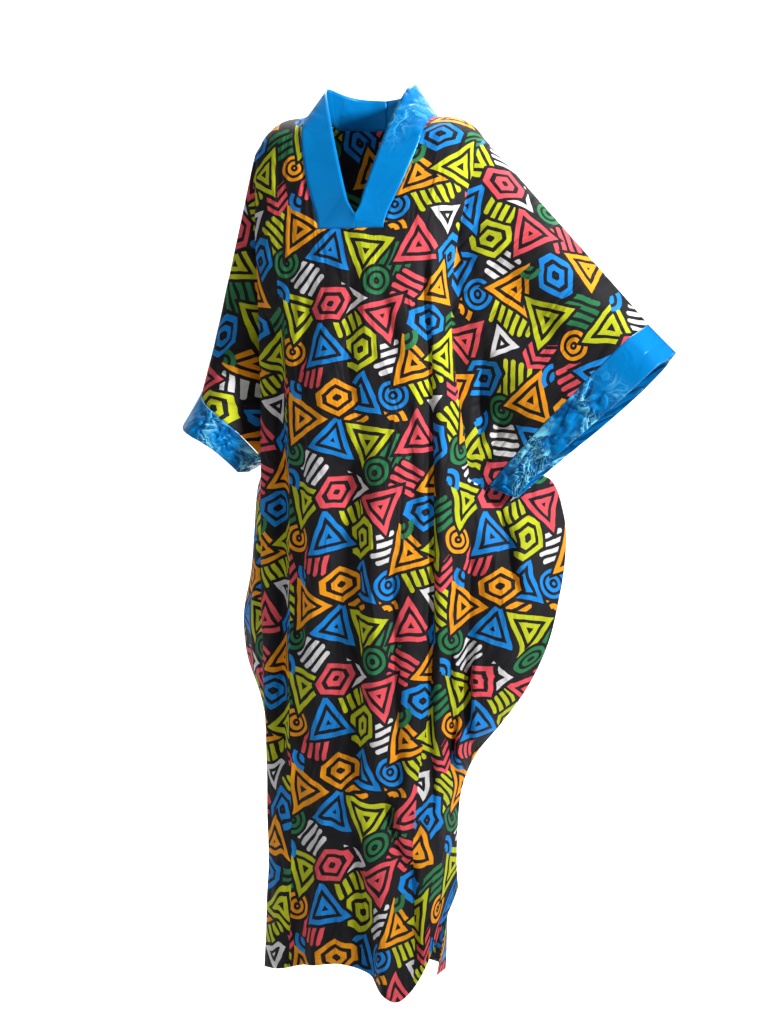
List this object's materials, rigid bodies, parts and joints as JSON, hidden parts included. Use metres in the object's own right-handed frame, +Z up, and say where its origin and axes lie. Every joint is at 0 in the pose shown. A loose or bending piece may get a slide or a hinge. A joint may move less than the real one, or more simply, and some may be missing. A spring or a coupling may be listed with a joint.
{
  "type": "batwing kaftan",
  "caption": "Long batwing kaftan as worn, hollow, with a wide neck band, wide cuffed sleeves, loose side wings and side slits.",
  "frame": {"origin": "middle of the neck opening, level with the shoulder line, where the wearer holds it up", "axes": "+Z up, the front faces -Y, +X to the garment's left"},
  "size_m": [0.8483, 0.273, 1.4932],
  "materials": {
    "print_cotton": "printed plain weave, faint sheen",
    "blue_satin": "glossy satin"
  },
  "bodies": {
    "root": {"front_panel": "print_cotton", "front_side_left": "print_cotton", "front_side_right": "print_cotton", "back_panel": "print_cotton", "back_side_left": "print_cotton", "back_side_right": "print_cotton", "neck_band_left": "blue_satin", "neck_band_right": "blue_satin", "cuff_left": "blue_satin", "cuff_right": "blue_satin"}
  },
  "joints": []
}
